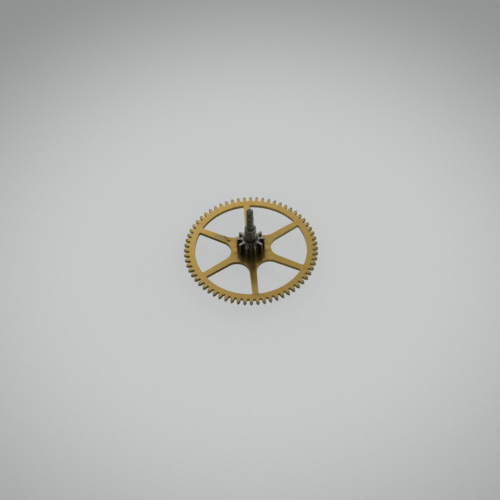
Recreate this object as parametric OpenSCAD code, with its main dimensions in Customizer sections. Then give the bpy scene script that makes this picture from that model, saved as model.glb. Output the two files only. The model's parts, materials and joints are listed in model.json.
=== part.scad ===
// Centre wheel of a watch: a brass wheel with arms, riveted to a steel pinion that is turned
// from one piece with its arbor. All sizes are in millimetres.
// The axis is Z and height 0 is the pinion's shoulder on the dial side. Above it stand the
// dial-side pivot and the post for the cannon pinion. Below it come the leaves, the wheel,
// the rivet, the collar and the bridge-side pivot.

/* [Wheel] */
// Number of teeth on the wheel
wheel_teeth = 64; // [58:1:72]
// Module of the wheel, which is its pitch diameter divided by its number of teeth
wheel_module = 0.148; // [0.14:0.002:0.16]
// Height of a wheel tooth above the pitch circle
wheel_addendum = 0.264; // [0.2:0.004:0.3]
// Depth of the gap between wheel teeth below the pitch circle
wheel_dedendum = 0.17; // [0.13:0.01:0.21]
// Thickness of a wheel tooth at the pitch circle
wheel_tooth_thickness = 0.26; // [0.22:0.01:0.28]
// Turn of the first wheel tooth from the X axis, in degrees
wheel_tooth_turn = 1.3; // [-2.8:0.1:2.8]
// Thickness of the wheel
wheel_thickness = 0.29; // [0.2:0.01:0.4]
// Width of the rim, from the bottom of the tooth gaps to the openings
rim_width = 0.41; // [0.3:0.01:0.6]

/* [Arms] */
// Number of arms
arm_count = 6; // [5:1:8]
// Turn of the first arm from the X axis, in degrees
arm_turn = 30; // [0:1:60]
// Width of an arm where it meets the rim
arm_width_at_rim = 0.44; // [0.3:0.01:0.6]
// Width of an arm at its widest, before it flares into the hub
arm_width_at_hub = 0.53; // [0.45:0.01:0.7]
// Distance from the axis at which the arm has its widest width
arm_flare_radius = 2; // [1.8:0.05:2.4]
// Radius of the hub, from the axis to the nearest point of an opening
hub_radius = 1.48; // [1.3:0.02:1.7]
// Radius of the small corners between arm and rim
corner_radius = 0.1; // [0.04:0.01:0.15]

/* [Pinion] */
// Number of leaves on the pinion
leaf_count = 10; // [8:1:12]
// Module of the pinion, which is its pitch diameter divided by its number of leaves
pinion_module = 0.18; // [0.17:0.005:0.2]
// Height of a leaf above the pitch circle
leaf_addendum = 0.145; // [0.12:0.005:0.17]
// Depth of the gap between leaves below the pitch circle
leaf_dedendum = 0.315; // [0.26:0.005:0.33]
// Thickness of a leaf at the pitch circle
leaf_thickness = 0.18; // [0.15:0.005:0.22]
// Turn of the first leaf from the X axis, in degrees
leaf_turn = -3.2; // [-18:0.2:18]
// Length of the leaves, from the wheel to the dial-side shoulder
leaf_length = 1.22; // [0.9:0.02:1.6]
// Diameter of the conical oil sink round the pivot, at the dial-side shoulder
sink_d = 1.1; // [0.96:0.02:1.14]
// Depth of the oil sink, where its cone meets the pivot
sink_depth = 0.08; // [0.04:0.01:0.2]

/* [Seat and rivet] */
// Diameter of the turned leaf ends that the wheel is pressed onto
seat_d = 1.32; // [1.24:0.02:1.6]
// Size of the chamfer on the wheel's hole, which the riveted ends fill
hole_chamfer = 0.07; // [0.03:0.01:0.12]
// Height of the riveted ends below the wheel
rivet_height = 0.1; // [0.06:0.01:0.16]
// Size of the bevel round the riveted ends
rivet_bevel = 0.05; // [0.02:0.01:0.05]

/* [Arbor] */
// Diameter of the dial-side pivot
dial_pivot_d = 0.85; // [0.7:0.01:0.9]
// Length of the dial-side pivot
dial_pivot_length = 1.2; // [0.9:0.05:1.6]
// Diameter of the post for the cannon pinion
post_d = 0.54; // [0.5:0.01:0.6]
// Length of the post, with its rounded tip
post_length = 2.08; // [1.9:0.02:2.6]
// Diameter of the post above the snap groove
post_tip_d = 0.52; // [0.46:0.01:0.54]
// Height of the rounded end of the post
tip_height = 0.2; // [0.1:0.01:0.22]
// Depth of the round-bottomed snap groove, below the surface of the post
groove_depth = 0.04; // [0.03:0.005:0.06]
// Width of the snap groove at the surface of the post
groove_width = 0.2; // [0.12:0.01:0.3]
// Height of the groove's middle above the shoulder between pivot and post
groove_place = 1.34; // [1.1:0.02:1.4]
// Diameter of the collar under the rivet
collar_d = 1; // [0.9:0.02:1.1]
// Length of the collar, from the rivet to the bridge-side shoulder
collar_length = 0.22; // [0.1:0.02:0.5]
// Diameter of the bridge-side pivot
bridge_pivot_d = 0.6; // [0.45:0.01:0.75]
// Length of the bridge-side pivot
bridge_pivot_length = 0.52; // [0.4:0.02:0.8]
// Size of the small chamfers on the pivots and the collar
edge_chamfer = 0.03; // [0.01:0.005:0.05]

/* [Hidden] */
$fn = 128;

// How far a cutter runs past the face that it opens
past = 0.05;
// How much larger the round bottom of a tooth gap is than an arc that just touches both flanks
gap_overcut = 1.03;
// How far a corner web runs into the metal, as a multiple of the corner that it fills
web_reach = 1.5;

// Heights, all counted from the dial-side shoulder of the pinion
wheel_top = -leaf_length;
wheel_bottom = wheel_top - wheel_thickness;
rivet_end = wheel_bottom - rivet_height;
bridge_shoulder = rivet_end - collar_length;
bridge_end = bridge_shoulder - bridge_pivot_length;
post_shoulder = dial_pivot_length;
groove_middle = post_shoulder + groove_place;
post_end = post_shoulder + post_length;
tip_start = post_end - tip_height;

// Radii of the wheel and its openings
wheel_pitch_r = wheel_module * wheel_teeth / 2;
wheel_root_r = wheel_pitch_r - wheel_dedendum;
opening_r = wheel_root_r - rim_width;
pinion_pitch_r = pinion_module * leaf_count / 2;
pinion_root_r = pinion_pitch_r - leaf_dedendum;
seat_r = seat_d / 2;

// An arm lies along X. Its edge falls by arm_slope and keeps the distance edge_reach from the
// axis, measured along edge_normal, which is square to the edge.
arm_slope = (arm_width_at_hub - arm_width_at_rim) / 2 / (opening_r - arm_flare_radius);
edge_unit = sqrt(1 + arm_slope * arm_slope);
edge_normal = [arm_slope, 1] / edge_unit;
edge_reach = (arm_width_at_rim / 2 + arm_slope * opening_r) / edge_unit;

// The inner end of an opening is one arc that touches the edges of both its arms
half_step = 180 / arm_count;
bisector = [cos(half_step), sin(half_step)];
flare_centre = (hub_radius - edge_reach) / (1 - edge_normal * bisector);
flare_radius = flare_centre - hub_radius;
flare_start = flare_centre * bisector - flare_radius * edge_normal;

// The corner at the rim is an arc that touches the arm's edge and the rim's inner circle
corner_reach = edge_reach + corner_radius;
corner_along = sqrt(pow(opening_r - corner_radius, 2) - corner_reach * corner_reach);
edge_along = [edge_normal.y, -edge_normal.x];
corner_centre = corner_reach * edge_normal + corner_along * edge_along;
corner_on_rim = corner_centre * opening_r / norm(corner_centre);
corner_on_arm = corner_centre - corner_radius * edge_normal;

// Height of the arm's edge above the X axis at a distance x along the arm
function edge_height(x) = (edge_reach - edge_normal.x * x) / edge_normal.y;

// One tooth or leaf along X: radial flanks up to the pitch circle, then two arcs that meet at
// the tip and run on from the flanks without a corner.
module tooth(pitch_r, tip_r, root_r, thickness) {
    half = thickness / 2;
    lean = asin(half / pitch_r);
    flank_end = pitch_r * cos(lean);
    rise = tip_r - flank_end;
    arc_r = (rise * rise + half * half) / (2 * (rise * sin(lean) + half * cos(lean)));
    arc_x = flank_end + arc_r * sin(lean);
    arc_y = arc_r * cos(lean) - half;
    root_half = half * root_r / pitch_r;
    polygon([
        [root_r, -root_half],
        [flank_end, -half],
        [flank_end, half],
        [root_r, root_half]
    ]);
    intersection() {
        translate([arc_x, arc_y])
            circle(r = arc_r);
        translate([arc_x, -arc_y])
            circle(r = arc_r);
        translate([flank_end, -half])
            square([rise + past, thickness]);
    }
}

// Ring of teeth with round-bottomed gaps. The flanks are radial, so a gap is a wedge, and its
// bottom is an arc that meets both sides of the wedge and is lowest at the root circle.
module toothed_disc(count, pitch_r, tip_r, root_r, thickness) {
    step = 360 / count;
    gap_angle = step / 2 - asin(thickness / 2 / pitch_r);
    gap_round = gap_overcut * root_r * sin(gap_angle) / (1 - sin(gap_angle));
    gap_centre = root_r + gap_round;
    difference() {
        circle(r = gap_centre);
        for (i = [0 : count - 1])
            rotate((i + 0.5) * step)
                translate([gap_centre, 0])
                    circle(r = gap_round);
    }
    for (i = [0 : count - 1])
        rotate(i * step)
            tooth(pitch_r, tip_r, root_r, thickness);
}

// Opening between the arm along X and the next one: a wedge out to the rim with an arc at its
// inner end. The wedge runs far past the rim, and the rim's inner circle trims it.
module opening() {
    far = 2 * opening_r;
    far_edge = [far, edge_height(far)];
    intersection() {
        circle(r = opening_r);
        union() {
            polygon([
                flare_start,
                far_edge,
                mirrored(far_edge),
                mirrored(flare_start)
            ]);
            translate(flare_centre * bisector)
                circle(r = flare_radius);
        }
    }
}

// A point mirrored to the other side of the line halfway between two arms
function mirrored(p) = [
    p.x * cos(2 * half_step) + p.y * sin(2 * half_step),
    p.x * sin(2 * half_step) - p.y * cos(2 * half_step)
];

// Metal left in the corner between an arm's edge and the rim
module corner_web() {
    outward = corner_on_rim + corner_on_arm - 2 * corner_centre;
    difference() {
        polygon([
            corner_centre,
            corner_on_arm,
            corner_centre + outward * web_reach,
            corner_on_rim
        ]);
        translate(corner_centre)
            circle(r = corner_radius);
    }
}

// Outline of the wheel without its hole
module wheel_outline() {
    difference() {
        rotate(wheel_tooth_turn)
            toothed_disc(
                wheel_teeth,
                wheel_pitch_r,
                wheel_pitch_r + wheel_addendum,
                wheel_root_r,
                wheel_tooth_thickness
            );
        for (i = [0 : arm_count - 1])
            rotate(arm_turn + i * 2 * half_step)
                opening();
    }
    for (i = [0 : arm_count - 1])
        rotate(arm_turn + i * 2 * half_step) {
            corner_web();
            mirror([0, 1])
                corner_web();
        }
}

// Brass wheel, with a round hole for the turned leaf ends and a chamfer for the rivet
module wheel() {
    color("goldenrod")
        difference() {
            translate([0, 0, wheel_bottom])
                linear_extrude(wheel_thickness)
                    wheel_outline();
            translate([0, 0, wheel_bottom - past])
                cylinder(r = seat_r, h = wheel_thickness + 2 * past);
            translate([0, 0, wheel_bottom])
                cylinder(r1 = seat_r + hole_chamfer, r2 = seat_r, h = hole_chamfer);
        }
}

// The pinion's leaves between two heights
module leaves(from, to) {
    translate([0, 0, from])
        linear_extrude(to - from)
            rotate(leaf_turn)
                toothed_disc(
                    leaf_count,
                    pinion_pitch_r,
                    pinion_pitch_r + leaf_addendum,
                    pinion_root_r,
                    leaf_thickness
                );
}

// Leaf ends turned down to the wheel's hole, spread into its chamfer and over its edge
module riveted_ends() {
    rivet_r = seat_r + hole_chamfer;
    intersection() {
        leaves(rivet_end, wheel_top);
        rotate_extrude()
            polygon([
                [0, wheel_top],
                [seat_r, wheel_top],
                [seat_r, wheel_bottom + hole_chamfer],
                [rivet_r, wheel_bottom],
                [rivet_r, rivet_end + rivet_bevel],
                [rivet_r - rivet_bevel, rivet_end],
                [0, rivet_end]
            ]);
    }
}

// Turned shaft on the dial side: pivot, post with its snap groove, and rounded tip
module dial_side_shaft() {
    pivot_r = dial_pivot_d / 2;
    post_r = post_d / 2;
    tip_r = post_tip_d / 2;
    groove_half = groove_width / 2;
    groove_round = (groove_half * groove_half + groove_depth * groove_depth) / (2 * groove_depth);
    dome_r = (tip_r * tip_r + tip_height * tip_height) / (2 * tip_height);
    rotate_extrude() {
        difference() {
            polygon([
                [0, -sink_depth],
                [pivot_r, -sink_depth],
                [pivot_r, post_shoulder - edge_chamfer],
                [pivot_r - edge_chamfer, post_shoulder],
                [post_r, post_shoulder],
                [post_r, groove_middle],
                [tip_r, groove_middle],
                [tip_r, tip_start],
                [0, tip_start]
            ]);
            translate([post_r - groove_depth + groove_round, groove_middle])
                circle(r = groove_round);
        }
        intersection() {
            translate([0, post_end - dome_r])
                circle(r = dome_r);
            translate([0, tip_start])
                square([tip_r, tip_height]);
        }
    }
}

// Turned shaft on the bridge side: collar with its shoulder, then the pivot
module bridge_side_shaft() {
    collar_r = collar_d / 2;
    pivot_r = bridge_pivot_d / 2;
    rotate_extrude()
        polygon([
            [0, rivet_end],
            [collar_r, rivet_end],
            [collar_r, bridge_shoulder + edge_chamfer],
            [collar_r - edge_chamfer, bridge_shoulder],
            [pivot_r, bridge_shoulder],
            [pivot_r, bridge_end + edge_chamfer],
            [pivot_r - edge_chamfer, bridge_end],
            [0, bridge_end]
        ]);
}

// Steel pinion and arbor in one piece. The oil sink's cutter is a cone that runs on past the
// shoulder, where its diameter grows by sink_flare for each millimetre of height.
module pinion() {
    sink_flare = (sink_d - dial_pivot_d) / sink_depth;
    color("slategray") {
        difference() {
            leaves(wheel_top, 0);
            translate([0, 0, -sink_depth])
                cylinder(d1 = dial_pivot_d, d2 = sink_d + sink_flare * past, h = sink_depth + past);
        }
        riveted_ends();
        dial_side_shaft();
        bridge_side_shaft();
    }
}

wheel();
pinion();
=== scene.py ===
"""Centre wheel of a watch: a gilt brass wheel riveted to a steel pinion and its arbor.

The file is laid out as a Blender add-on. Run as a script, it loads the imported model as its
frame, models both pieces at that place with Blender's own operators, gives them their
materials, and sets up the floor, the lights and the camera.
"""

import json
import math

import bmesh
import bpy
from bpy.props import FloatProperty, FloatVectorProperty, IntProperty, PointerProperty
from mathutils import Matrix, Vector


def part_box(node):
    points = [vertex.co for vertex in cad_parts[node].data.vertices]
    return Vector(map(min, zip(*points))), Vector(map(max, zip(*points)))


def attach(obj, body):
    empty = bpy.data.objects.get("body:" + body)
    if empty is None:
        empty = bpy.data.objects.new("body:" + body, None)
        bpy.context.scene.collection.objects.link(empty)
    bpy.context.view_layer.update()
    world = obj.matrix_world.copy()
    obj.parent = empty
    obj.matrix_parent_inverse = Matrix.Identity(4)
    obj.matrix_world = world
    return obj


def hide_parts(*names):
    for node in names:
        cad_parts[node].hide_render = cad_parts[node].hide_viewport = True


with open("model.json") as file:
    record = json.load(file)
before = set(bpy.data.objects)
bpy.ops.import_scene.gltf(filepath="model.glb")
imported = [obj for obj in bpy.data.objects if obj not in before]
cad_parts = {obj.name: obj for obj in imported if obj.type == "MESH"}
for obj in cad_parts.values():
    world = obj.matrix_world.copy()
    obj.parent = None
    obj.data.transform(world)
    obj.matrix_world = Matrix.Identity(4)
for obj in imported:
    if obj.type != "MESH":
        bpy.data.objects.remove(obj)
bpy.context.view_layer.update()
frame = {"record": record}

bl_info = {
    "name": "Watch centre wheel",
    "version": (1, 0, 0),
    "blender": (4, 5, 0),
    "location": "View3D > Sidebar > Centre wheel",
    "description": "Models a watch's centre wheel with its pinion and arbor, and a plain stage",
    "category": "Object",
}

# Pieces are drawn with one unit to the millimetre, because the drawing tools lose accuracy on
# a few hundredths of a millimetre written in metres. They are brought to metres when finished.
MM = 1000.0
# Points nearer to each other than this are one point, in millimetres.
MERGE = 1e-4
# Square millimetres by which faces may differ and still count alike in smooth shading.
SAME_AREA = 1e-3
# Faces whose normal rises by more than this share count as flat faces and not as walls. Walls get
# darker copies of the metals, partly as painted shade.
FLAT_FACE_RISE = 0.3

MOUNTS = {mount["name"]: mount for mount in frame["record"]["mounts"]}
# Heights of the frame's pieces, in millimetres. The leaves' upper ends are at height 0.
WHEEL_BOTTOM, WHEEL_TOP = (corner.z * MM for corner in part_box("wheel"))
PINION_BOTTOM, PINION_TOP = (corner.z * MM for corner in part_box("pinion"))


def mount_size(name, key):
    """A size of one of the record's mounts, in metres, or a plain count."""
    value = MOUNTS[name]["dims"][key]
    return value / MM if key.endswith("_mm") else value


def length_prop(name, description, default, low=0.0):
    return FloatProperty(
        name=name,
        description=description,
        default=default,
        min=low,
        precision=6,
        subtype="DISTANCE",
        unit="LENGTH",
    )


def angle_prop(name, description, default):
    return FloatProperty(
        name=name,
        description=description,
        default=math.radians(default),
        subtype="ANGLE",
        unit="ROTATION",
    )


def colour_prop(name, description, default):
    return FloatVectorProperty(
        name=name,
        description=description,
        default=default,
        size=3,
        min=0,
        max=1,
        subtype="COLOR",
    )


class WheelSizes(bpy.types.PropertyGroup):
    tooth_count: IntProperty(
        name="Teeth",
        description="Number of teeth on the wheel",
        default=mount_size("wheel_teeth", "count"),
        min=12,
    )
    pitch_radius: length_prop(
        "Pitch radius", "Radius of the wheel's pitch circle", mount_size("wheel_teeth", "r_mm")
    )
    addendum: length_prop("Addendum", "Height of a tooth above the pitch circle", 0.264e-3)
    dedendum: length_prop("Dedendum", "Depth of a tooth gap below the pitch circle", 0.17e-3)
    tooth_thickness: length_prop("Tooth thickness", "Thickness at the pitch circle", 0.26e-3)
    tooth_turn: angle_prop("Tooth turn", "Turn of the first tooth from the X axis", 1.3)
    tooth_tip_round: length_prop("Tooth tip round", "Radius of the round at the tips", 0.03e-3)
    rim_width: length_prop("Rim width", "From the bottom of the gaps to the openings", 0.41e-3)
    arm_count: IntProperty(name="Arms", description="Number of arms", default=6, min=3)
    arm_turn: angle_prop("Arm turn", "Turn of the first arm from the X axis", 30)
    arm_width_at_rim: length_prop("Arm width at rim", "Width of an arm at the rim", 0.44e-3)
    arm_width_at_hub: length_prop("Arm width at hub", "Width of an arm before its flare", 0.53e-3)
    arm_flare_radius: length_prop("Arm flare", "Radius at which an arm is widest", 2e-3)
    hub_radius: length_prop("Hub radius", "From the axis to the nearest opening", 1.48e-3)
    corner_radius: length_prop("Corner radius", "Round between arm and rim", 0.1e-3)
    seat_radius: length_prop("Seat radius", "Radius of the wheel's hole", 0.66e-3)
    hole_chamfer: length_prop("Hole chamfer", "Chamfer of the hole on the rivet's side", 0.07e-3)
    edge_round: length_prop("Edge round", "Width of the broken edges of the wheel", 0.016e-3)


class PinionSizes(bpy.types.PropertyGroup):
    leaf_count: IntProperty(
        name="Leaves",
        description="Number of leaves on the pinion",
        default=mount_size("pinion_leaves", "count"),
        min=6,
    )
    pitch_radius: length_prop(
        "Pitch radius", "Radius of the pinion's pitch circle", mount_size("pinion_leaves", "r_mm")
    )
    addendum: length_prop("Addendum", "Height of a leaf above the pitch circle", 0.145e-3)
    dedendum: length_prop("Dedendum", "Depth of a gap below the pitch circle", 0.315e-3)
    leaf_thickness: length_prop("Leaf thickness", "Thickness at the pitch circle", 0.18e-3)
    leaf_turn: angle_prop("Leaf turn", "Turn of the first leaf from the X axis", -3.2)
    leaf_tip_round: length_prop("Leaf tip round", "Radius of the round at a leaf's tip", 0.05e-3)
    leaf_edge_round: length_prop("Leaf edge round", "Width of the leaves' broken edges", 0.012e-3)
    sink_radius: length_prop("Sink radius", "Radius of the oil sink at its mouth", 0.55e-3)
    sink_depth: length_prop("Sink depth", "Depth of the oil sink at the pivot", 0.08e-3)
    sink_hollow: length_prop("Sink hollow", "How far the sink's wall is hollowed out", 0.012e-3)
    sink_chamfer: length_prop("Sink chamfer", "Chamfer at the mouth of the oil sink", 0.012e-3)
    rivet_height: length_prop("Rivet height", "Height of the rivet below the wheel", 0.1e-3)
    rivet_bevel: length_prop("Rivet bevel", "Bevel round the riveted ends", 0.05e-3)


class ArborSizes(bpy.types.PropertyGroup):
    dial_pivot_radius: length_prop(
        "Dial pivot radius", "Radius of the dial-side pivot", mount_size("dial_pivot", "r_mm")
    )
    dial_pivot_length: length_prop("Dial pivot length", "Length of the dial-side pivot", 1.2e-3)
    post_radius: length_prop(
        "Post radius", "Radius of the cannon pinion's post", mount_size("cannon_post", "r_mm")
    )
    post_tip_radius: length_prop("Post tip radius", "Radius above the snap groove", 0.26e-3)
    tip_height: length_prop("Tip height", "Height of the post's rounded end", 0.2e-3)
    groove_depth: length_prop("Groove depth", "Depth of the snap groove", 0.04e-3)
    groove_width: length_prop("Groove width", "Width of the snap groove", 0.2e-3)
    groove_place: length_prop("Groove place", "Groove's height above the post's shoulder", 1.34e-3)
    collar_radius: length_prop("Collar radius", "Radius of the collar under the rivet", 0.5e-3)
    collar_length: length_prop("Collar length", "Length of the collar", 0.22e-3)
    bridge_pivot_radius: length_prop(
        "Bridge pivot radius", "Radius of the bridge-side pivot", mount_size("bridge_pivot", "r_mm")
    )
    edge_chamfer: length_prop("Edge chamfer", "Chamfers on the pivots and the collar", 0.03e-3)
    edge_round: length_prop("Edge round", "Width of the round on each turned edge", 0.008e-3)


class FinishColours(bpy.types.PropertyGroup):
    gilt: colour_prop("Gilt face", "Gilt brass of the wheel's flat faces", (0.585, 0.405, 0.112))
    warm_gilt: colour_prop("Warm gilt", "Gilt where it has toned warmer", (0.585, 0.355, 0.1))
    pale_gilt: colour_prop("Pale gilt", "Gilt where it is thin or marked", (0.63, 0.46, 0.16))
    # Tarnish is also laid round the pinion's foot as painted contact shade with some oil dirt.
    tarnish: colour_prop("Tarnish", "Brown tarnish and old oil", (0.1, 0.055, 0.017))
    # Laid on the teeth's tips as painted shade, and in one worn mark on an arm.
    worn_gilt: colour_prop("Worn gilt", "Gilt worn thin at the teeth's tips", (0.245, 0.232, 0.175))
    # Darker than the gilt: partly real cut brass, partly painted shade on the walls; also laid as a
    # painted reflection on the front arm.
    cut_brass: colour_prop("Cut brass", "Brass on the wheel's cut walls", (0.255, 0.17, 0.04))
    # The three steels go by the face's normal: flat ends lightest, turned walls darker, leaves'
    # flanks darkest. This is partly a real difference of finish and partly painted light and shade.
    polished_steel: colour_prop(
        "Polished steel", "Steel on the polished ends of the leaves", (0.36, 0.352, 0.335)
    )
    turned_steel: colour_prop("Turned steel", "Steel on the turned shaft", (0.14, 0.137, 0.12))
    leaf_steel: colour_prop("Leaf steel", "Steel on the flanks of the leaves", (0.07, 0.068, 0.058))


class StageSettings(bpy.types.PropertyGroup):
    floor_colour: colour_prop("Floor", "Colour of the floor", (0.452, 0.466, 0.464))
    floor_shade: colour_prop("Floor shade", "How much of the light it keeps", (0.16, 0.162, 0.162))
    # The far floor's colour is a painted fall-off of light towards the floor's edges.
    floor_far: colour_prop("Far floor", "Colour of the floor far away", (0.172, 0.177, 0.176))
    world_colour: colour_prop("World", "Colour of the surrounding light", (0.31, 0.312, 0.312))
    floor_height: length_prop("Floor height", "Height of the floor", PINION_BOTTOM / MM, -1.0)
    window_azimuth: angle_prop("Window azimuth", "Turn of the window round the axis", 68)
    window_elevation: angle_prop("Window elevation", "Height of the window", 32)
    window_distance: length_prop("Window distance", "From the wheel's upper face", 0.35)
    window_size: length_prop("Window size", "Width and height of the window", 0.3)
    window_radiance: FloatProperty(
        name="Window radiance", description="Brightness of the window", default=1.6, min=0
    )
    camera_azimuth: angle_prop("Camera azimuth", "Turn of the camera round the axis", -3.16)
    camera_elevation: angle_prop("Camera elevation", "Height of the camera", 52.53)
    camera_distance: length_prop("Camera distance", "From the wheel's upper face", 89.2e-3)
    camera_roll: angle_prop("Camera roll", "Roll of the camera, clockwise", 1.935)
    camera_lens: FloatProperty(
        name="Lens", description="Focal length in millimetres", default=86.436, min=1
    )
    aim_right: length_prop("Aim right", "Aim beside the wheel's middle", -0.0684e-3, -1.0)
    aim_up: length_prop("Aim up", "Aim above the wheel's middle", -0.124e-3, -1.0)


GROUPS = {
    "centre_wheel_sizes": WheelSizes,
    "centre_pinion_sizes": PinionSizes,
    "centre_arbor_sizes": ArborSizes,
    "centre_finish_colours": FinishColours,
    "centre_stage_settings": StageSettings,
}


class InMillimetres:
    """Reads a property group's lengths in millimetres and everything else as it is."""

    def __init__(self, group):
        self._group = group

    def __getattr__(self, name):
        value = getattr(self._group, name)
        prop = self._group.bl_rna.properties[name]
        return value * MM if prop.unit == "LENGTH" else value


def on_circle(radius, angle):
    return Vector((radius * math.cos(angle), radius * math.sin(angle)))


def deselect_all():
    if bpy.context.mode != "OBJECT":
        leave_edit_mode()
    bpy.ops.object.select_all(action="DESELECT")


def make_active(piece):
    deselect_all()
    piece.select_set(True)
    bpy.context.view_layer.objects.active = piece


def enter_edit_mode():
    bpy.ops.object.mode_set(mode="EDIT")


def leave_edit_mode():
    bpy.ops.object.mode_set(mode="OBJECT")


class Pen:
    """Draws lines and arcs in edit mode, each going on from the end of the last.

    A flat drawing lies in the XY plane. An upright one is a lathe's profile, with its first
    number the radius and its second the height. Arcs turn anticlockwise for a positive turn.
    """

    def __init__(self, name, start, upright=False):
        self.upright = upright
        self.at = Vector(start)
        deselect_all()
        bpy.ops.mesh.primitive_plane_add(size=1, location=(0, 0, 0))
        self.piece = bpy.context.object
        self.piece.name = name
        self.piece.data.name = name
        enter_edit_mode()
        bpy.ops.mesh.select_mode(type="VERT")
        bpy.ops.mesh.merge(type="CENTER")
        bpy.ops.transform.translate(value=self.in_space(self.at))

    def in_space(self, point):
        if self.upright:
            return (point[0], 0, point[1])
        return (point[0], point[1], 0)

    def line(self, *points):
        """Straight lines from point to point."""
        for point in points:
            move = self.in_space(Vector(point) - self.at)
            bpy.ops.mesh.extrude_region_move(TRANSFORM_OT_translate={"value": move})
            self.at = Vector(point)

    def arc(self, centre, turn, steps):
        centre = Vector(centre)
        axis = (0, 1, 0) if self.upright else (0, 0, 1)
        angle = turn if self.upright else -turn
        bpy.ops.mesh.spin(steps=steps, angle=angle, center=self.in_space(centre), axis=axis)
        self.at = centre + Matrix.Rotation(turn, 2) @ (self.at - centre)

    def close(self):
        """Closes the outline into one face."""
        select_everything()
        bpy.ops.mesh.edge_face_add()


def select_everything():
    bpy.ops.mesh.select_all(action="SELECT")


def merge_all():
    select_everything()
    bpy.ops.mesh.remove_doubles(threshold=MERGE)


def repeat_round_axis(count, turn):
    """Mirrors a half across the X axis, sets count of the whole round Z, and turns them."""
    select_everything()
    bpy.ops.mesh.duplicate()
    bpy.ops.transform.resize(value=(1, -1, 1), center_override=(0, 0, 0))
    merge_all()
    angle = -2 * math.pi * (count - 1) / count
    bpy.ops.mesh.spin(steps=count - 1, angle=angle, dupli=True, center=(0, 0, 0), axis=(0, 0, 1))
    merge_all()
    bpy.ops.transform.rotate(value=-turn, orient_axis="Z", center_override=(0, 0, 0))


def face_outwards():
    select_everything()
    bpy.ops.mesh.normals_make_consistent(inside=False)


def thicken(top, bottom):
    """Moves a flat drawing up to the top and extrudes it down to the bottom."""
    select_everything()
    bpy.ops.transform.translate(value=(0, 0, top))
    bpy.ops.mesh.extrude_region_move(TRANSFORM_OT_translate={"value": (0, 0, bottom - top)})
    face_outwards()


def lathe(pen, steps):
    """Spins a profile that starts and ends on the axis into a closed solid."""
    select_everything()
    bpy.ops.mesh.spin(steps=steps, angle=2 * math.pi, center=(0, 0, 0), axis=(0, 0, 1))
    merge_all()
    face_outwards()
    return pen.piece


def select_edges(piece, wanted):
    """Selects the edges for which wanted(point) is true at both ends."""
    bpy.ops.mesh.select_mode(type="EDGE")
    bpy.ops.mesh.select_all(action="DESELECT")
    mesh = bmesh.from_edit_mesh(piece.data)
    for edge in mesh.edges:
        edge.select_set(all(wanted(corner.co) for corner in edge.verts))
    mesh.select_flush_mode()
    bmesh.update_edit_mesh(piece.data)


def apply_modifier(piece, kind, **settings):
    make_active(piece)
    modifier = piece.modifiers.new(kind.title(), kind)
    for name, value in settings.items():
        setattr(modifier, name, value)
    bpy.ops.object.modifier_apply(modifier=modifier.name)


def break_edges(piece, width, limit=25):
    """Rounds every edge sharper than the limit, in degrees."""
    apply_modifier(
        piece,
        "BEVEL",
        width=width,
        segments=2,
        limit_method="ANGLE",
        angle_limit=math.radians(limit),
        use_clamp_overlap=True,
        miter_outer="MITER_ARC",
    )


def combine(piece, other, operation):
    """Joins, cuts or intersects a piece with a helper, which is then removed."""
    apply_modifier(piece, "BOOLEAN", object=other, operation=operation, solver="EXACT")
    bpy.data.objects.remove(other)


def finish_piece(piece):
    """Smooths a finished piece's shading, keeps its flat faces flat, and brings it to metres."""
    smooth_below = 32
    make_active(piece)
    enter_edit_mode()
    face_outwards()
    leave_edit_mode()
    bpy.ops.object.shade_smooth_by_angle(angle=math.radians(smooth_below))
    apply_modifier(piece, "WEIGHTED_NORMAL", keep_sharp=True, weight=100, thresh=SAME_AREA)
    enter_edit_mode()
    select_everything()
    bpy.ops.transform.resize(value=(1 / MM, 1 / MM, 1 / MM), center_override=(0, 0, 0))
    leave_edit_mode()


def draw_tooth(pen, sizes, count, thickness, tip_round, gap_steps, arc_steps, tip_steps):
    """Half a tooth or leaf along X: from the bottom of the gap over the flank to the tip."""
    half_step = math.pi / count
    root_r = sizes.pitch_radius - sizes.dedendum
    half = thickness / 2
    lean = math.asin(half / sizes.pitch_radius)
    flank_end = Vector((sizes.pitch_radius * math.cos(lean), half))
    rise = sizes.pitch_radius + sizes.addendum - flank_end.x
    inwards = Vector((math.sin(lean), -math.cos(lean)))
    arc_r = (rise * rise + half * half) / (2 * (rise * inwards.x - half * inwards.y))
    arc_centre = flank_end + arc_r * inwards
    reach = math.sqrt((arc_r - tip_round) ** 2 - arc_centre.y**2)
    tip_centre = Vector((arc_centre.x + reach, 0))
    to_tip = tip_centre - arc_centre
    tip_angle = math.atan2(to_tip.y, to_tip.x)
    gap_angle = half_step - lean
    gap_round = root_r * math.sin(gap_angle) / (1 - math.sin(gap_angle))

    pen.line(on_circle(root_r, half_step))
    pen.arc(on_circle(root_r + gap_round, half_step), math.pi / 2 - gap_angle, gap_steps)
    pen.line(flank_end)
    pen.arc(arc_centre, tip_angle - math.pi / 2 - lean, arc_steps)
    pen.arc(tip_centre, -tip_angle, tip_steps)


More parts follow.
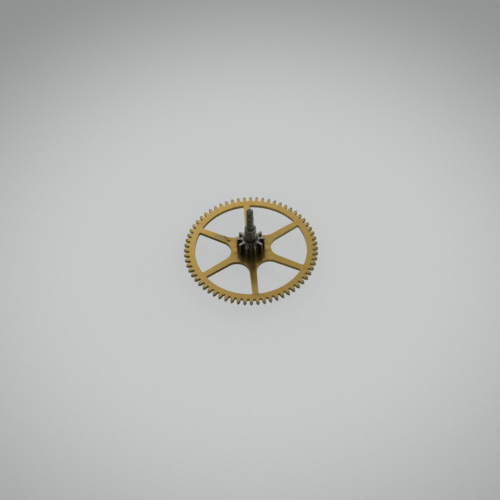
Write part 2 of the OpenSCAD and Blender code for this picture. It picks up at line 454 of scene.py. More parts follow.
def draw_opening(pen, sizes, opening_r, rim_steps, corner_steps, flare_steps):
    """Half an opening, from its outer side along the arm on X to the middle of its inner end."""
    half_step = math.pi / sizes.arm_count
    slope = (sizes.arm_width_at_hub - sizes.arm_width_at_rim) / 2
    slope /= opening_r - sizes.arm_flare_radius
    unit = math.hypot(1, slope)
    normal = Vector((slope, 1)) / unit
    along_arm = Vector((normal.y, -normal.x))
    reach = (sizes.arm_width_at_rim / 2 + slope * opening_r) / unit
    bisector = on_circle(1, half_step)
    flare_distance = (sizes.hub_radius - reach) / (1 - normal.dot(bisector))
    flare_centre = flare_distance * bisector
    flare_r = flare_distance - sizes.hub_radius
    corner_reach = reach + sizes.corner_radius
    along = math.sqrt((opening_r - sizes.corner_radius) ** 2 - corner_reach**2)
    corner_centre = corner_reach * normal + along * along_arm
    corner_angle = math.atan2(corner_centre.y, corner_centre.x)
    normal_angle = math.atan2(normal.y, normal.x)

    pen.line(on_circle(opening_r, half_step))
    pen.arc((0, 0), corner_angle - half_step, rim_steps)
    pen.arc(corner_centre, normal_angle - math.pi - corner_angle, corner_steps)
    pen.line(flare_centre - flare_r * normal)
    pen.arc(flare_centre, half_step - normal_angle, flare_steps)


def wheel_piece(sizes):
    """The brass wheel: a ring of teeth bridged to the arms and hub, and brought to thickness."""
    root_r = sizes.pitch_radius - sizes.dedendum
    opening_r = root_r - sizes.rim_width
    teeth_ring = root_r - sizes.rim_width / 3
    arms_ring = root_r - 2 * sizes.rim_width / 3
    steps_per_half_tooth = 3

    pen = Pen("wheel_teeth_ring", (teeth_ring, 0))
    pen.arc((0, 0), math.pi / sizes.tooth_count, steps_per_half_tooth)
    draw_tooth(
        pen,
        sizes,
        sizes.tooth_count,
        sizes.tooth_thickness,
        sizes.tooth_tip_round,
        gap_steps=5,
        arc_steps=5,
        tip_steps=2,
    )
    pen.close()
    repeat_round_axis(sizes.tooth_count, sizes.tooth_turn)
    teeth = pen.piece

    half_step = math.pi / sizes.arm_count
    ring_steps = steps_per_half_tooth * sizes.tooth_count // sizes.arm_count
    pen = Pen("gilt_wheel", (sizes.seat_radius, 0))
    pen.line((arms_ring, 0))
    pen.arc((0, 0), half_step, ring_steps)
    draw_opening(pen, sizes, opening_r, rim_steps=24, corner_steps=6, flare_steps=22)
    pen.line(on_circle(sizes.seat_radius, half_step))
    pen.arc((0, 0), -half_step, steps=10)
    pen.close()
    merge_all()
    repeat_round_axis(sizes.arm_count, sizes.arm_turn)
    wheel = pen.piece

    make_active(wheel)
    teeth.select_set(True)
    bpy.ops.object.join()
    enter_edit_mode()
    inside = arms_ring - MERGE
    outside = teeth_ring + MERGE
    select_edges(wheel, lambda point: inside < point.length < outside)
    bpy.ops.mesh.bridge_edge_loops()
    thicken(WHEEL_TOP, WHEEL_BOTTOM)
    low = WHEEL_BOTTOM + MERGE
    hole = sizes.seat_radius + MERGE
    select_edges(wheel, lambda point: point.z < low and point.xy.length < hole)
    bpy.ops.mesh.bevel(offset=sizes.hole_chamfer, offset_type="WIDTH", segments=1, affect="EDGES")
    leave_edit_mode()
    break_edges(wheel, sizes.edge_round)
    finish_piece(wheel)
    return wheel


def turned_blank(sizes, wheel, pivot_r, bottom):
    """The pinion's blank as the lathe leaves it: oil sink, seat for the wheel and riveted end."""
    seat_r = wheel.seat_radius
    rivet_r = seat_r + wheel.hole_chamfer
    outside = sizes.pitch_radius + 2 * sizes.addendum
    chamfer = sizes.sink_chamfer
    above = 4 * chamfer
    mouth = Vector((sizes.sink_radius, -chamfer / 2))
    foot = Vector((pivot_r, -sizes.sink_depth))
    half = (foot - mouth) / 2
    hollow_r = (half.length_squared + sizes.sink_hollow**2) / (2 * sizes.sink_hollow)
    upwards = Vector((half.y, -half.x)).normalized()
    hollow_centre = (mouth + foot) / 2 + (hollow_r - sizes.sink_hollow) * upwards
    pen = Pen("turned_blank", (0, bottom), upright=True)
    pen.line(
        (rivet_r - sizes.rivet_bevel, bottom),
        (rivet_r, bottom + sizes.rivet_bevel),
        (rivet_r, WHEEL_BOTTOM),
        (seat_r, WHEEL_BOTTOM + wheel.hole_chamfer),
        (seat_r, WHEEL_TOP),
        (outside, WHEEL_TOP),
        (outside, above),
        (sizes.sink_radius + chamfer + 2 * above, above),
        mouth,
    )
    pen.arc(hollow_centre, -2 * math.asin(half.length / hollow_r), steps=6)
    pen.line((0, foot.y))
    return lathe(pen, steps=160)


def turned_arbor(sizes, pinion, rivet_end):
    """The arbor as the lathe leaves it, from the bridge-side pivot to the post's rounded end."""
    chamfer = sizes.edge_chamfer
    bridge_shoulder = rivet_end - sizes.collar_length
    core_top = -2 * pinion.sink_depth
    pivot_r = sizes.dial_pivot_radius
    post_r = sizes.post_radius
    tip_r = sizes.post_tip_radius
    post_shoulder = sizes.dial_pivot_length
    groove = post_shoulder + sizes.groove_place
    half = sizes.groove_width / 2
    depth = sizes.groove_depth
    round_r = (half * half + depth * depth) / (2 * depth)
    groove_centre = Vector((post_r - depth + round_r, groove))
    low_angle = math.atan2(-half, post_r - groove_centre.x)
    upper_half = math.sqrt(round_r**2 - (tip_r - groove_centre.x) ** 2)
    high_angle = math.atan2(upper_half, tip_r - groove_centre.x)
    tip_start = PINION_TOP - sizes.tip_height
    dome_r = (tip_r**2 + sizes.tip_height**2) / (2 * sizes.tip_height)
    dome_angle = math.asin(tip_r / dome_r)

    pen = Pen("turned_arbor", (0, PINION_BOTTOM), upright=True)
    pen.line(
        (sizes.bridge_pivot_radius - chamfer, PINION_BOTTOM),
        (sizes.bridge_pivot_radius, PINION_BOTTOM + chamfer),
        (sizes.bridge_pivot_radius, bridge_shoulder),
        (sizes.collar_radius - chamfer, bridge_shoulder),
        (sizes.collar_radius, bridge_shoulder + chamfer),
        (sizes.collar_radius, core_top),
        (pivot_r, core_top),
        (pivot_r, post_shoulder - chamfer),
        (pivot_r - chamfer, post_shoulder),
        (post_r, post_shoulder),
        (post_r, groove - half),
    )
    pen.arc(groove_centre, high_angle - (low_angle + 2 * math.pi), steps=8)
    pen.line((tip_r, tip_start))
    pen.arc((0, PINION_TOP - dome_r), dome_angle, steps=10)
    arbor = lathe(pen, steps=144)
    leave_edit_mode()
    break_edges(arbor, sizes.edge_round, limit=12)
    return arbor


def pinion_piece(sizes, wheel, arbor_sizes):
    """The steel pinion with its arbor: cut leaves, kept where the turned blank has metal."""
    rivet_end = WHEEL_BOTTOM - sizes.rivet_height
    pen = Pen("steel_pinion", (0, 0))
    draw_tooth(
        pen,
        sizes,
        sizes.leaf_count,
        sizes.leaf_thickness,
        sizes.leaf_tip_round,
        gap_steps=10,
        arc_steps=7,
        tip_steps=4,
    )
    pen.close()
    repeat_round_axis(sizes.leaf_count, sizes.leaf_turn)
    thicken(0, rivet_end - sizes.rivet_height)
    leave_edit_mode()
    pinion = pen.piece
    break_edges(pinion, sizes.leaf_edge_round)
    blank = turned_blank(sizes, wheel, arbor_sizes.dial_pivot_radius, rivet_end)
    combine(pinion, blank, "INTERSECT")
    arbor = turned_arbor(arbor_sizes, sizes, rivet_end)
    combine(pinion, arbor, "UNION")
    finish_piece(pinion)
    return pinion


class Nodes:
    """Adds nodes to a material, a world or a node group and hands back their outputs."""

    def __init__(self, tree):
        self.tree = tree

    def add(self, kind, inputs=(), **settings):
        """One node. Each input is linked if it is given a socket, and otherwise set."""
        node = self.tree.nodes.new("ShaderNode" + kind)
        for name, value in settings.items():
            setattr(node, name, value)
        for name, value in dict(inputs).items():
            self.feed(node.inputs[name], value)
        return node

    def feed(self, socket, value):
        if isinstance(value, bpy.types.NodeSocket):
            self.tree.links.new(value, socket)
        else:
            socket.default_value = value

    def math(self, operation, *values):
        return self.add("Math", dict(enumerate(values)), operation=operation).outputs[0]

    def times(self, first, second):
        return self.math("MULTIPLY", first, second)

    def vector_math(self, operation, *values):
        node = self.add("VectorMath", dict(enumerate(values)), operation=operation)
        gives_a_number = operation in ("DOT_PRODUCT", "LENGTH")
        return node.outputs["Value" if gives_a_number else "Vector"]

    def parts(self, vector):
        return self.add("SeparateXYZ", {0: vector}).outputs

    def flat(self, place):
        """The place without its height."""
        return self.vector_math("MULTIPLY", place, (1, 1, 0))

    def from_axis(self, place):
        return self.vector_math("LENGTH", self.flat(place))

    def face_rise(self):
        """How far the face looks up, from -1 for straight down to 1."""
        return self.parts(self.add("TexCoord").outputs["Normal"])["Z"]

    def scaled(self, place, scale, turn=0.0):
        """Coordinates turned round the axis and then scaled along each direction."""
        inputs = {"Vector": place, "Rotation": (0, 0, turn), "Scale": scale}
        return self.add("Mapping", inputs).outputs[0]

    def object_place(self):
        """Object coordinates in millimetres."""
        return self.scaled(self.add("TexCoord").outputs["Object"], (MM, MM, MM))

    def noise(self, place, scale, detail=2.0, roughness=0.5):
        inputs = {"Vector": place, "Scale": scale, "Detail": detail, "Roughness": roughness}
        return self.add("TexNoise", inputs).outputs["Fac"]

    def ramp(self, value, low, high, at_low=0.0, at_high=1.0):
        """Goes smoothly from at_low to at_high while the value goes from low to high."""
        inputs = {
            "Value": value,
            "From Min": low,
            "From Max": high,
            "To Min": at_low,
            "To Max": at_high,
        }
        return self.add("MapRange", inputs, interpolation_type="SMOOTHSTEP").outputs["Result"]

    def fade(self, value, low, high):
        """Goes smoothly from 1 to 0 while the value goes from low to high."""
        return self.ramp(value, low, high, at_low=1.0, at_high=0.0)

    def blend(self, first, second, share):
        """Goes from the first colour to the second as the share goes from 0 to 1."""
        node = self.add("Mix", {"Factor": share}, data_type="RGBA")
        self.feed(node.inputs["A"], first)
        self.feed(node.inputs["B"], second)
        return node.outputs["Result"]


class Effect(Nodes):
    """A node group that finishes share. It makes a mask from a place, in millimetres."""

    def __init__(self, name, **numbers):
        self.group = bpy.data.node_groups.new(name, "ShaderNodeTree")
        super().__init__(self.group)
        sockets = self.group.interface
        sockets.new_socket("Place", in_out="INPUT", socket_type="NodeSocketVector")
        for label, default in numbers.items():
            socket = sockets.new_socket(label, in_out="INPUT", socket_type="NodeSocketFloat")
            socket.default_value = default
        sockets.new_socket("Mask", in_out="OUTPUT", socket_type="NodeSocketFloat")
        self.given = self.group.nodes.new("NodeGroupInput").outputs
        self.place = self.given["Place"]

    def one_over(self, label):
        return self.math("DIVIDE", 1.0, self.given[label])

    def put_out(self, mask):
        self.feed(self.group.nodes.new("NodeGroupOutput").inputs["Mask"], mask)
        return self.group


def satin_grain():
    """Fine even grain of a satin surface."""
    effect = Effect("satin_grain", Size=0.02)
    noise = effect.noise(effect.place, effect.one_over("Size"), detail=4.0, roughness=0.65)
    return effect.put_out(noise)


def tone_clouds():
    """Broad soft patches, where the metal has toned or was touched."""
    effect = Effect("tone_clouds", Size=1.0, Softness=0.16)
    noise = effect.noise(effect.place, effect.one_over("Size"), detail=3.0, roughness=0.55)
    low = effect.math("SUBTRACT", 0.5, effect.given["Softness"])
    high = effect.math("ADD", 0.5, effect.given["Softness"])
    return effect.put_out(effect.ramp(noise, low, high))


def hair_marks():
    """Sparse fine marks from wiping and handling, in two directions."""
    effect = Effect("hair_marks", Spacing=0.12, Width=0.006)
    stretch = 0.06
    marks = []
    for turn in (0.5, 2.2):
        stretched = effect.scaled(effect.place, (1, stretch, 1), turn)
        noise = effect.noise(stretched, effect.one_over("Spacing"), detail=1.0)
        from_middle = effect.math("ABSOLUTE", effect.math("SUBTRACT", noise, 0.5))
        line = effect.fade(from_middle, 0.0, effect.given["Width"])
        turned = effect.scaled(effect.place, (1, 1, 1), turn)
        here = effect.ramp(effect.noise(turned, scale=1.7), low=0.5, high=0.62)
        marks.append(effect.times(line, here))
    return effect.put_out(effect.math("MAXIMUM", *marks))


def turned_lines():
    """Fine lines that a lathe leaves, round the walls and as rings on the end faces."""
    effect = Effect("turned_lines", Pitch=0.02)
    flattest_wall = 0.7
    rise = effect.math("ABSOLUTE", effect.face_rise())
    on_face = effect.math("GREATER_THAN", rise, flattest_wall)
    height = effect.parts(effect.place)["Z"]
    radius = effect.from_axis(effect.place)
    along = effect.add("Mix", {"Factor": on_face, "A": height, "B": radius}).outputs["Result"]
    steps = effect.math("DIVIDE", along, effect.given["Pitch"])
    inputs = {"W": steps, "Scale": 1.0, "Detail": 3.0, "Roughness": 0.7}
    return effect.put_out(effect.add("TexNoise", inputs, noise_dimensions="1D").outputs["Fac"])


def edge_wear():
    """Patchy mask that is strongest at two heights, used for wear and for painted shade."""
    effect = Effect("edge_wear", Top=0.0, Bottom=-1.0, Width=0.04)
    height = effect.parts(effect.place)["Z"]
    near = []
    for edge in ("Top", "Bottom"):
        away = effect.math("ABSOLUTE", effect.math("SUBTRACT", height, effect.given[edge]))
        near.append(effect.fade(away, 0.0, effect.given["Width"]))
    noise = effect.noise(effect.place, scale=4.0, detail=3.0)
    patches = effect.ramp(noise, low=0.35, high=0.65, at_low=0.35)
    return effect.put_out(effect.times(effect.math("MAXIMUM", *near), patches))


def old_oil():
    """Uneven film that thins out from one distance from the axis to another, used for old oil and
    for painted shade.
    """
    effect = Effect("old_oil", Inner=0.6, Outer=1.2)
    radius = effect.from_axis(effect.place)
    film = effect.fade(radius, effect.given["Inner"], effect.given["Outer"])
    noise = effect.noise(effect.place, scale=2.5, detail=4.0, roughness=0.6)
    patches = effect.ramp(noise, low=0.3, high=0.65, at_low=0.4)
    return effect.put_out(effect.times(film, patches))


def dark_spots():
    """Small dull spots of tarnish, of uneven size and strength."""
    effect = Effect("dark_spots", Spacing=0.5, Amount=0.3)
    smallest = 0.04
    size_range = 0.22
    raggedness = 0.08
    finer = 6.0
    scale = effect.one_over("Spacing")
    cells = effect.add("TexVoronoi", {"Vector": effect.place, "Scale": scale}).outputs
    chance = effect.parts(cells["Color"])
    square = effect.times(chance["X"], chance["X"])
    reach = effect.math("MULTIPLY_ADD", square, size_range, smallest)
    noise = effect.noise(effect.place, effect.times(scale, finer))
    away = effect.math("MULTIPLY_ADD", noise, raggedness, cells["Distance"])
    chosen = effect.math("LESS_THAN", chance["Y"], effect.given["Amount"])
    return effect.put_out(effect.times(effect.fade(away, 0.0, reach), chosen))


def blemish():
    """One ragged oval patch at a place on the upper face, strongest in its middle; used for real
    marks and for painted shade and reflection.
    """
    effect = Effect("blemish", X=0.0, Y=0.0, Turn=0.0, Length=0.3, Width=0.1)
    given = effect.given
    raggedness = 0.9
    least_rise = 0.5
    middle = effect.add("CombineXYZ", {"X": given["X"], "Y": given["Y"]}).outputs[0]
    away = effect.vector_math("SUBTRACT", effect.flat(effect.place), middle)
    inputs = {"Vector": away, "Angle": given["Turn"]}
    turned = effect.add("VectorRotate", inputs, rotation_type="Z_AXIS").outputs[0]
    size = effect.add("CombineXYZ", {"X": given["Length"], "Y": given["Width"], "Z": 1.0})
    reach = effect.vector_math("LENGTH", effect.vector_math("DIVIDE", turned, size.outputs[0]))
    noise = effect.noise(effect.place, scale=9.0, detail=3.0, roughness=0.6)
    reach = effect.math("MULTIPLY_ADD", noise, raggedness, reach)
    middle_reach = effect.math("SUBTRACT", reach, raggedness / 2)
    mark = effect.fade(middle_reach, low=0.25, high=1.0)
    on_top = effect.math("GREATER_THAN", effect.face_rise(), least_rise)
    return effect.put_out(effect.times(mark, on_top))


# Marks and patches on the wheel's upper face, some of them painted shade and reflection: the
# colour, the middle's X and Y, the turn, the length and the width in millimetres and radians, and
# the strength.
MARKS = (
    # On the upper left arm.
    ("cut_brass", -1.75, 1.08, 0.52, 1.0, 0.5, 0.4),
    ("warm_gilt", -1.36, 0.55, 1.0, 0.5, 0.35, 1.0),
    ("worn_gilt", -2.3, 1.32, 0.52, 0.8, 0.24, 0.5),
    ("tarnish", -1.58, 0.86, 0.3, 0.24, 0.15, 0.95),
    ("tarnish", -1.8, 1.16, 1.0, 0.45, 0.11, 0.55),
    ("pale_gilt", -1.96, 1.42, 1.0, 0.1, 0.07, 0.8),
    # On the rim.
    ("warm_gilt", -3.55, 2.75, 0.9, 0.7, 0.3, 1.0),
    ("warm_gilt", 3.75, 2.15, 2.1, 0.6, 0.3, 1.0),
    ("warm_gilt", 0.15, 4.3, 0.0, 0.8, 0.3, 1.0),
    ("warm_gilt", 3.85, -2.3, 0.9, 0.4, 0.25, 1.0),
    ("cut_brass", 0.1, -4.2, 0.0, 0.6, 0.35, 0.3),
    # On the front arm and the hub: a painted reflection of the shaft on the front arm, one patch
    # that deepens the painted shade round the pinion and three that lighten it.
    ("cut_brass", 0.08, -2.3, 1.57, 1.6, 0.5, 0.35),
    ("cut_brass", -1.04, 0.6, 0.0, 0.3, 0.2, 0.3),
    ("gilt", -0.6, -1.04, 0.0, 0.3, 0.3, 0.6),
    ("gilt", 1.22, 0.0, 0.0, 0.32, 0.32, 0.8),
    ("gilt", -1.22, 0.0, 0.0, 0.32, 0.32, 0.9),
)


class MetalFinish(Nodes):
    """A metal whose colour, roughness and fine relief come from the shared effects."""

    effects = {}
    least_roughness = 0.05

    def __init__(self, name, colours, base):
        self.material = bpy.data.materials.new(name)
        self.material.use_nodes = True
        super().__init__(self.material.node_tree)
        self.inputs = self.tree.nodes["Principled BSDF"].inputs
        self.inputs["Metallic"].default_value = 1
        self.place = self.object_place()
        self.colours = colours
        self.colour = (*getattr(colours, base), 1)
        self.roughness = 0.0
        self.relief = 0.0

    def mask(self, make, **numbers):
        """The mask of a shared effect, which is built the first time that it is used."""
        if make not in self.effects:
            self.effects[make] = make()
        node = self.tree.nodes.new("ShaderNodeGroup")
        node.node_tree = self.effects[make]
        self.feed(node.inputs["Place"], self.place)
        for label, value in numbers.items():
            node.inputs[label].default_value = value
        return node.outputs["Mask"]

    def tint(self, colour, mask, strength):
        """Moves the colour towards another where the mask is bright."""
        share = self.times(mask, strength)
        self.colour = self.blend(self.colour, (*getattr(self.colours, colour), 1), share)

    def roughen(self, mask, amount):
        self.roughness = self.math("MULTIPLY_ADD", mask, amount, self.roughness)

    def raise_up(self, mask, amount):
        """Adds a mask to the fine relief, or cuts it in if the amount is below 0."""
        self.relief = self.math("MULTIPLY_ADD", mask, amount, self.relief)

    def cover(self, mask, amount):
        """Lays a film that isn't metallic over the metal where the mask is bright."""
        film = self.times(mask, amount)
        self.feed(self.inputs["Metallic"], self.math("SUBTRACT", 1.0, film))

    def finish(self, roughness, depth):
        """Feeds the shader. The depth of the relief is in millimetres."""
        self.feed(self.inputs["Base Color"], self.colour)
        rough = self.math("ADD", self.roughness, roughness)
        self.feed(self.inputs["Roughness"], self.math("MAXIMUM", rough, self.least_roughness))
        bump = self.add("Bump", {"Height": self.relief, "Distance": depth / MM})
        self.feed(self.inputs["Normal"], bump.outputs["Normal"])
        return self.material


def gilt_face(colours, wheel, pinion):
    """Satin gilt brass, softly toned and marked and oily round the pinion, with painted shade round
    the pinion's foot and on the teeth's tips and a painted reflection of the shaft on the front
    arm.
    """
    metal = MetalFinish("gilt_face", colours, "gilt")
    leaf_tip_r = pinion.pitch_radius + pinion.addendum
    tooth_tip_r = wheel.pitch_radius + wheel.addendum
    grain = metal.mask(satin_grain, Size=0.03)
    clouds = metal.mask(tone_clouds, Size=1.3, Softness=0.14)
    marks = metal.mask(hair_marks, Spacing=0.16, Width=0.008)
    spots = metal.mask(dark_spots, Spacing=0.55, Amount=0.3)
    oil = metal.mask(old_oil, Inner=wheel.seat_radius, Outer=1.25 * wheel.hub_radius)
    metal.tint("warm_gilt", clouds, 0.7)
    metal.tint("pale_gilt", metal.mask(tone_clouds, Size=0.45, Softness=0.2), 0.3)
    metal.tint("cut_brass", oil, 0.4)
    metal.tint("tarnish", spots, 0.6)
    metal.tint("pale_gilt", marks, 0.35)
    # Browner and darker towards the pinion: partly old oil, partly painted contact shade round the
    # pinion's foot.
    film = metal.mask(old_oil, Inner=leaf_tip_r, Outer=4.4 * leaf_tip_r)
    contact_shade_and_dirt = metal.mask(old_oil, Inner=leaf_tip_r, Outer=1.5 * leaf_tip_r)
    # Greenish grey on the teeth's tips: painted shade.
    tips = metal.mask(old_oil, Inner=tooth_tip_r - wheel.addendum / 2, Outer=wheel.pitch_radius)
    metal.tint("cut_brass", film, 0.3)
    metal.tint("tarnish", contact_shade_and_dirt, 0.5)
    metal.tint("worn_gilt", tips, 0.95)
    for colour, x, y, turn, length, width, strength in MARKS:
        mark = metal.mask(blemish, X=x, Y=y, Turn=turn, Length=length, Width=width)
        metal.tint(colour, mark, strength)
    metal.roughen(clouds, 0.04)
    metal.roughen(grain, 0.05)
    metal.roughen(spots, 0.15)
    metal.roughen(oil, 0.08)
    metal.raise_up(grain, 1.0)
    metal.raise_up(marks, -0.8)
    metal.cover(oil, 0.12)
    return metal.finish(roughness=0.16, depth=0.0005)


def cut_brass(colours, wheel):
    """Dull brass on the cut walls, darker than the gilt partly as painted shade, brighter along the
    worn edges.
    """
    metal = MetalFinish("cut_brass", colours, "cut_brass")
    grain = metal.mask(satin_grain, Size=0.02)
    clouds = metal.mask(tone_clouds, Size=0.6, Softness=0.16)
    spots = metal.mask(dark_spots, Spacing=0.3, Amount=0.4)
    wear = metal.mask(edge_wear, Top=WHEEL_TOP, Bottom=WHEEL_BOTTOM, Width=0.05)
    metal.tint("tarnish", clouds, 0.35)
    metal.tint("tarnish", spots, 0.6)
    metal.tint("gilt", wear, 0.35)
    metal.roughen(clouds, 0.1)
    metal.roughen(grain, 0.08)
    metal.raise_up(grain, 1.0)
    return metal.finish(roughness=0.28, depth=0.0012)


def polished_steel(colours):
    """Polished steel on the ends of the leaves, lighter partly as painted light, with faint rings
    and marks.
    """
    metal = MetalFinish("polished_steel", colours, "polished_steel")
    rings = metal.mask(turned_lines, Pitch=0.012)
    marks = metal.mask(hair_marks, Spacing=0.08, Width=0.01)
    clouds = metal.mask(tone_clouds, Size=0.35, Softness=0.2)
    spots = metal.mask(dark_spots, Spacing=0.18, Amount=0.25)
    metal.tint("turned_steel", clouds, 0.25)
    metal.tint("leaf_steel", spots, 0.6)
    metal.roughen(clouds, 0.06)
    metal.roughen(marks, 0.1)
    metal.raise_up(rings, 1.0)
    metal.raise_up(marks, -0.5)
    return metal.finish(roughness=0.12, depth=0.0003)


def turned_steel(colours, arbor):
    """Burnished steel of the arbor, darker than the leaves' ends partly as painted shade, with
    lathe lines, worn shoulders, painted shade on its rounded tip and a painted reflection of the
    dark hub at its foot.
    """
    metal = MetalFinish("turned_steel", colours, "turned_steel")
    rings = metal.mask(turned_lines, Pitch=0.02)
    clouds = metal.mask(tone_clouds, Size=0.5, Softness=0.16)
    marks = metal.mask(hair_marks, Spacing=0.1, Width=0.01)
    spots = metal.mask(dark_spots, Spacing=0.25, Amount=0.3)
    wear = metal.mask(edge_wear, Top=arbor.dial_pivot_length, Bottom=0.0, Width=0.05)
    # The tip and the foot are darkened as painted shade; at the foot it stands for the reflection
    # of the dark hub.
    tip = metal.mask(edge_wear, Top=PINION_TOP, Bottom=PINION_TOP, Width=0.4)
    foot = metal.mask(edge_wear, Top=0.0, Bottom=0.0, Width=1.3)
    metal.tint("leaf_steel", clouds, 0.5)
    metal.tint("leaf_steel", spots, 0.5)
    metal.tint("polished_steel", wear, 0.2)
    # Painted shade on the tip and a painted reflection of the hub at the foot.
    metal.tint("leaf_steel", tip, 0.7)
    metal.tint("leaf_steel", foot, 1.0)
    metal.tint("polished_steel", marks, 0.15)
    metal.roughen(clouds, 0.06)
    metal.roughen(rings, 0.06)
    metal.roughen(wear, 0.45)
    metal.raise_up(rings, 1.0)
    metal.raise_up(marks, -0.6)
    return metal.finish(roughness=0.09, depth=0.0003)


def leaf_steel(colours, pinion):
    """Dark steel on the flanks of the leaves, darkest partly as painted shade, with old oil in the
    gaps and worn ends.
    """
    metal = MetalFinish("leaf_steel", colours, "leaf_steel")
    root = pinion.pitch_radius - pinion.dedendum
    grain = metal.mask(satin_grain, Size=0.02)
    oil = metal.mask(old_oil, Inner=root, Outer=pinion.pitch_radius)
    wear = metal.mask(edge_wear, Top=0.0, Bottom=WHEEL_TOP, Width=0.06)
    clouds = metal.mask(tone_clouds, Size=0.4, Softness=0.16)
    metal.tint("turned_steel", clouds, 0.3)
    metal.tint("tarnish", oil, 0.35)
    metal.tint("polished_steel", wear, 0.25)
    metal.roughen(grain, 0.06)
    metal.roughen(oil, 0.12)
    metal.raise_up(grain, 1.0)
    metal.cover(oil, 0.7)
    return metal.finish(roughness=0.18, depth=0.0004)


def paint_faces(piece, materials, choose):
    """Gives each face the material whose number choose(face centre, face normal) returns."""
    for material in materials:
        piece.data.materials.append(material)
    for face in piece.data.polygons:
        face.material_index = choose(face.center * MM, face.normal)


def brass_choice(wheel):
    """Which brass a face of the wheel has: 0 gilt, also in the hole, and 1 on the cut walls, darker
    partly as painted shade.
    """
    hole_r = wheel.seat_radius + wheel.hole_chamfer

    def choose(place, normal):
        return 0 if abs(normal.z) > FLAT_FACE_RISE or place.xy.length < hole_r else 1

    return choose


def steel_choice(pinion, wheel, arbor):
    """Which steel a face of the pinion has: 0 polished, 1 turned, 2 the leaves' flanks, lightest to
    darkest partly as painted shade.
    """
    shaft_r = arbor.dial_pivot_radius + MERGE
    collar_r = arbor.collar_radius + MERGE
    shaft_foot = -pinion.sink_depth - MERGE
    rivet_end = WHEEL_BOTTOM - pinion.rivet_height

    def choose(place, normal):
        radius = place.xy.length
        on_dial_shaft = radius < shaft_r and place.z > shaft_foot
        on_bridge_shaft = radius < collar_r and place.z < rivet_end - MERGE
        if on_dial_shaft or on_bridge_shaft:
            return 1
        if abs(normal.z) > FLAT_FACE_RISE or place.z < WHEEL_TOP - MERGE:
            return 0
        return 2

    return choose


class CENTREWHEEL_OT_wheel(bpy.types.Operator):
    """Model the gilt brass wheel with its teeth and arms"""

    bl_idname = "centre_wheel.wheel"
    bl_label = "Brass wheel"

    def execute(self, context):
        scene = context.scene
        colours = scene.centre_finish_colours
        sizes = InMillimetres(scene.centre_wheel_sizes)
        wheel = wheel_piece(sizes)
        pinion = InMillimetres(scene.centre_pinion_sizes)
        materials = [gilt_face(colours, sizes, pinion), cut_brass(colours, sizes)]
        paint_faces(wheel, materials, brass_choice(sizes))
        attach(wheel, "root")
        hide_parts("wheel")
        return {"FINISHED"}


class CENTREWHEEL_OT_pinion(bpy.types.Operator):
    """Model the steel pinion with its arbor"""

    bl_idname = "centre_wheel.pinion"
    bl_label = "Steel pinion and arbor"

    def execute(self, context):
        scene = context.scene
        colours = scene.centre_finish_colours
        wheel = InMillimetres(scene.centre_wheel_sizes)
        sizes = InMillimetres(scene.centre_pinion_sizes)
        arbor = InMillimetres(scene.centre_arbor_sizes)
        pinion = pinion_piece(sizes, wheel, arbor)
        materials = [
            polished_steel(colours),
            turned_steel(colours, arbor),
            leaf_steel(colours, sizes),
        ]
        paint_faces(pinion, materials, steel_choice(sizes, wheel, arbor))
        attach(pinion, "root")
        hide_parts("pinion")
        return {"FINISHED"}


def towards(azimuth, elevation):
    """A direction from the part. Azimuth 0 is behind it and a right angle is on its right."""
    level = math.cos(elevation)
    return Vector((level * math.sin(azimuth), level * math.cos(azimuth), math.sin(elevation)))


def put_in_scene(data):
    thing = bpy.data.objects.new(data.name, data)
    bpy.context.scene.collection.objects.link(thing)
    return thing


def window_lamp(settings, middle):
    """One soft square lamp on the right, aimed at the part."""
    data = bpy.data.lights.new("right_window", "AREA")
    data.shape = "SQUARE"
    data.size = settings.window_size
    data.energy = settings.window_radiance * math.pi * settings.window_size**2
    lamp = put_in_scene(data)
    away = towards(settings.window_azimuth, settings.window_elevation)
    lamp.location = middle + away * settings.window_distance
    lamp.rotation_euler = (-away).to_track_quat("-Z", "Y").to_euler()


# Broad soft lights of the room: azimuth, elevation, the angle round the middle within which a
# light is full and the one beyond which it is gone, all in degrees, and its strength.
GLOWS = (
    (-15, 20, 18, 42, 1.05),
    (-100, 35, 20, 60, 0.3),
    (180, 12, 15, 50, 0.4),
    (0, 90, 12, 35, 0.05),
)


def soft_room(settings):
    """Even light from all round, with broad soft glows where the windows are."""
    world = bpy.data.worlds.new("soft_room")
    world.use_nodes = True
    nodes = Nodes(world.node_tree)
    direction = nodes.add("TexCoord").outputs["Generated"]
    strength = 1.0
    for *angles, brightness in GLOWS:
        azimuth, elevation, full_within, gone_beyond = map(math.radians, angles)
        near = nodes.vector_math("DOT_PRODUCT", direction, towards(azimuth, elevation))
        share = brightness / settings.world_colour[0]
        glow = nodes.ramp(near, math.cos(gone_beyond), math.cos(full_within), at_high=share)
        strength = nodes.math("ADD", glow, strength)
    background = world.node_tree.nodes["Background"].inputs
    background["Color"].default_value = (*settings.world_colour, 1)
    nodes.feed(background["Strength"], strength)
    return world


# The floor's width in metres.
FLOOR_WIDTH = 2.0
# Millimetres from the axis at which the floor's painted fall-off of light starts, and at which it
# ends.
FLOOR_PALE_WITHIN = 12.0
FLOOR_DARK_BEYOND = 36.0
# In metal, the floor's glow under the wheel is painted darker on the side away from the window: the
# direction of its lit side, half the width of the change, the share left on the dark side, and the
# ring round the wheel over which that comes to an end.
FLOOR_LIT_SIDE = (0.86, 0.51, 0.0)
FLOOR_SIDE_CHANGE = 2.5
FLOOR_DARK_SHARE = 0.35
FLOOR_UNDER_WHEEL = (4.6, 5.4)
# How much the floor's fine unevenness changes it.
FLOOR_UNEVEN = 0.015
FLOOR_ROUGHNESS = 0.9


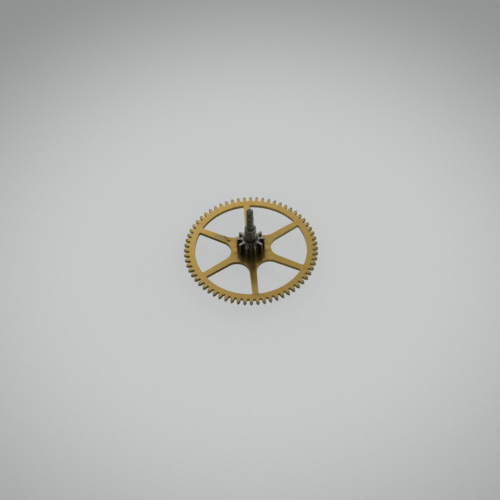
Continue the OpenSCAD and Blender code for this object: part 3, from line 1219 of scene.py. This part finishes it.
def pale_floor(settings):
    """A plain pale floor that keeps a faint shadow and looks pale to the camera and in metal.

    Its glow is painted darker towards its edges, as a fall-off of light. In metal it is also
    painted darker under the wheel on the left and towards the camera, as it is beside a window.
    From below it can be seen through.
    """
    material = bpy.data.materials.new("pale_floor")
    material.use_nodes = True
    nodes = Nodes(material.node_tree)
    inputs = nodes.tree.nodes["Principled BSDF"].inputs
    inputs["Base Color"].default_value = (*settings.floor_shade, 1)
    inputs["Roughness"].default_value = FLOOR_ROUGHNESS
    inputs["Specular IOR Level"].default_value = 0.0
    place = nodes.object_place()
    reach = nodes.from_axis(place)
    near = nodes.fade(reach, FLOOR_PALE_WITHIN, FLOOR_DARK_BEYOND)
    tone = nodes.blend((*settings.floor_far, 1), (*settings.floor_colour, 1), near)
    nodes.feed(inputs["Emission Color"], tone)
    side = nodes.vector_math("DOT_PRODUCT", place, FLOOR_LIT_SIDE)
    lit = nodes.ramp(side, -FLOOR_SIDE_CHANGE, FLOOR_SIDE_CHANGE, at_low=FLOOR_DARK_SHARE)
    in_metal = nodes.math("MAXIMUM", lit, nodes.ramp(reach, *FLOOR_UNDER_WHEEL))
    path = nodes.add("LightPath").outputs
    seen = nodes.math("MAXIMUM", path["Is Camera Ray"], path["Is Transmission Ray"])
    mirrored = nodes.times(path["Is Glossy Ray"], in_metal)
    noise = nodes.noise(place, scale=3.0, detail=4.0, roughness=0.6)
    fibres = nodes.ramp(noise, 0.3, 0.7, 1.0 - FLOOR_UNEVEN, 1.0 + FLOOR_UNEVEN)
    strength = nodes.times(nodes.math("MAXIMUM", seen, mirrored), fibres)
    nodes.feed(inputs["Emission Strength"], strength)
    from_below = nodes.add("NewGeometry").outputs["Backfacing"]
    nodes.feed(inputs["Alpha"], nodes.math("SUBTRACT", 1.0, from_below))
    return material


def stage_camera(settings, middle):
    """The camera, rolled a little and aimed a little beside the wheel's middle."""
    data = bpy.data.cameras.new("camera")
    data.lens = settings.camera_lens
    data.sensor_width = 36
    data.clip_start = 0.001
    data.clip_end = 10
    camera = put_in_scene(data)
    back = towards(math.pi - settings.camera_azimuth, settings.camera_elevation)
    roll = Matrix.Rotation(-settings.camera_roll, 4, "Z").to_quaternion()
    turn = (-back).to_track_quat("-Z", "Y") @ roll
    aim = middle + turn @ Vector((settings.aim_right, settings.aim_up, 0))
    straight = turn @ Vector((0, 0, -1))
    camera.location = middle + back * settings.camera_distance
    camera.rotation_mode = "QUATERNION"
    camera.rotation_quaternion = straight.rotation_difference(aim - camera.location) @ turn
    return camera


class CENTREWHEEL_OT_stage(bpy.types.Operator):
    """Set up the floor, the lights and the camera"""

    bl_idname = "centre_wheel.stage"
    bl_label = "Stage"

    def execute(self, context):
        scene = context.scene
        settings = scene.centre_stage_settings
        middle = Vector((0, 0, WHEEL_TOP / MM))
        deselect_all()
        bpy.ops.mesh.primitive_plane_add(size=FLOOR_WIDTH)
        floor = context.object
        floor.location.z = settings.floor_height
        floor.name = "floor"
        floor.data.materials.append(pale_floor(settings))
        scene.world = soft_room(settings)
        window_lamp(settings, middle)
        scene.camera = stage_camera(settings, middle)
        scene.view_settings.view_transform = "Standard"
        return {"FINISHED"}


class CENTREWHEEL_PT_panel(bpy.types.Panel):
    """The centre wheel's pieces and stage"""

    bl_idname = "CENTREWHEEL_PT_panel"
    bl_label = "Centre wheel"
    bl_space_type = "VIEW_3D"
    bl_region_type = "UI"
    bl_category = "Centre wheel"

    def draw(self, context):
        for operator in OPERATORS:
            self.layout.operator(operator.bl_idname)


OPERATORS = (CENTREWHEEL_OT_wheel, CENTREWHEEL_OT_pinion, CENTREWHEEL_OT_stage)


def register():
    for cls in (*GROUPS.values(), *OPERATORS, CENTREWHEEL_PT_panel):
        bpy.utils.register_class(cls)
    for name, cls in GROUPS.items():
        setattr(bpy.types.Scene, name, PointerProperty(type=cls))


def unregister():
    for name in GROUPS:
        delattr(bpy.types.Scene, name)
    for cls in (CENTREWHEEL_PT_panel, *reversed(OPERATORS), *reversed(GROUPS.values())):
        bpy.utils.unregister_class(cls)


def main():
    register()
    bpy.ops.centre_wheel.wheel()
    bpy.ops.centre_wheel.pinion()
    bpy.ops.centre_wheel.stage()


if __name__ == "__main__":
    main()
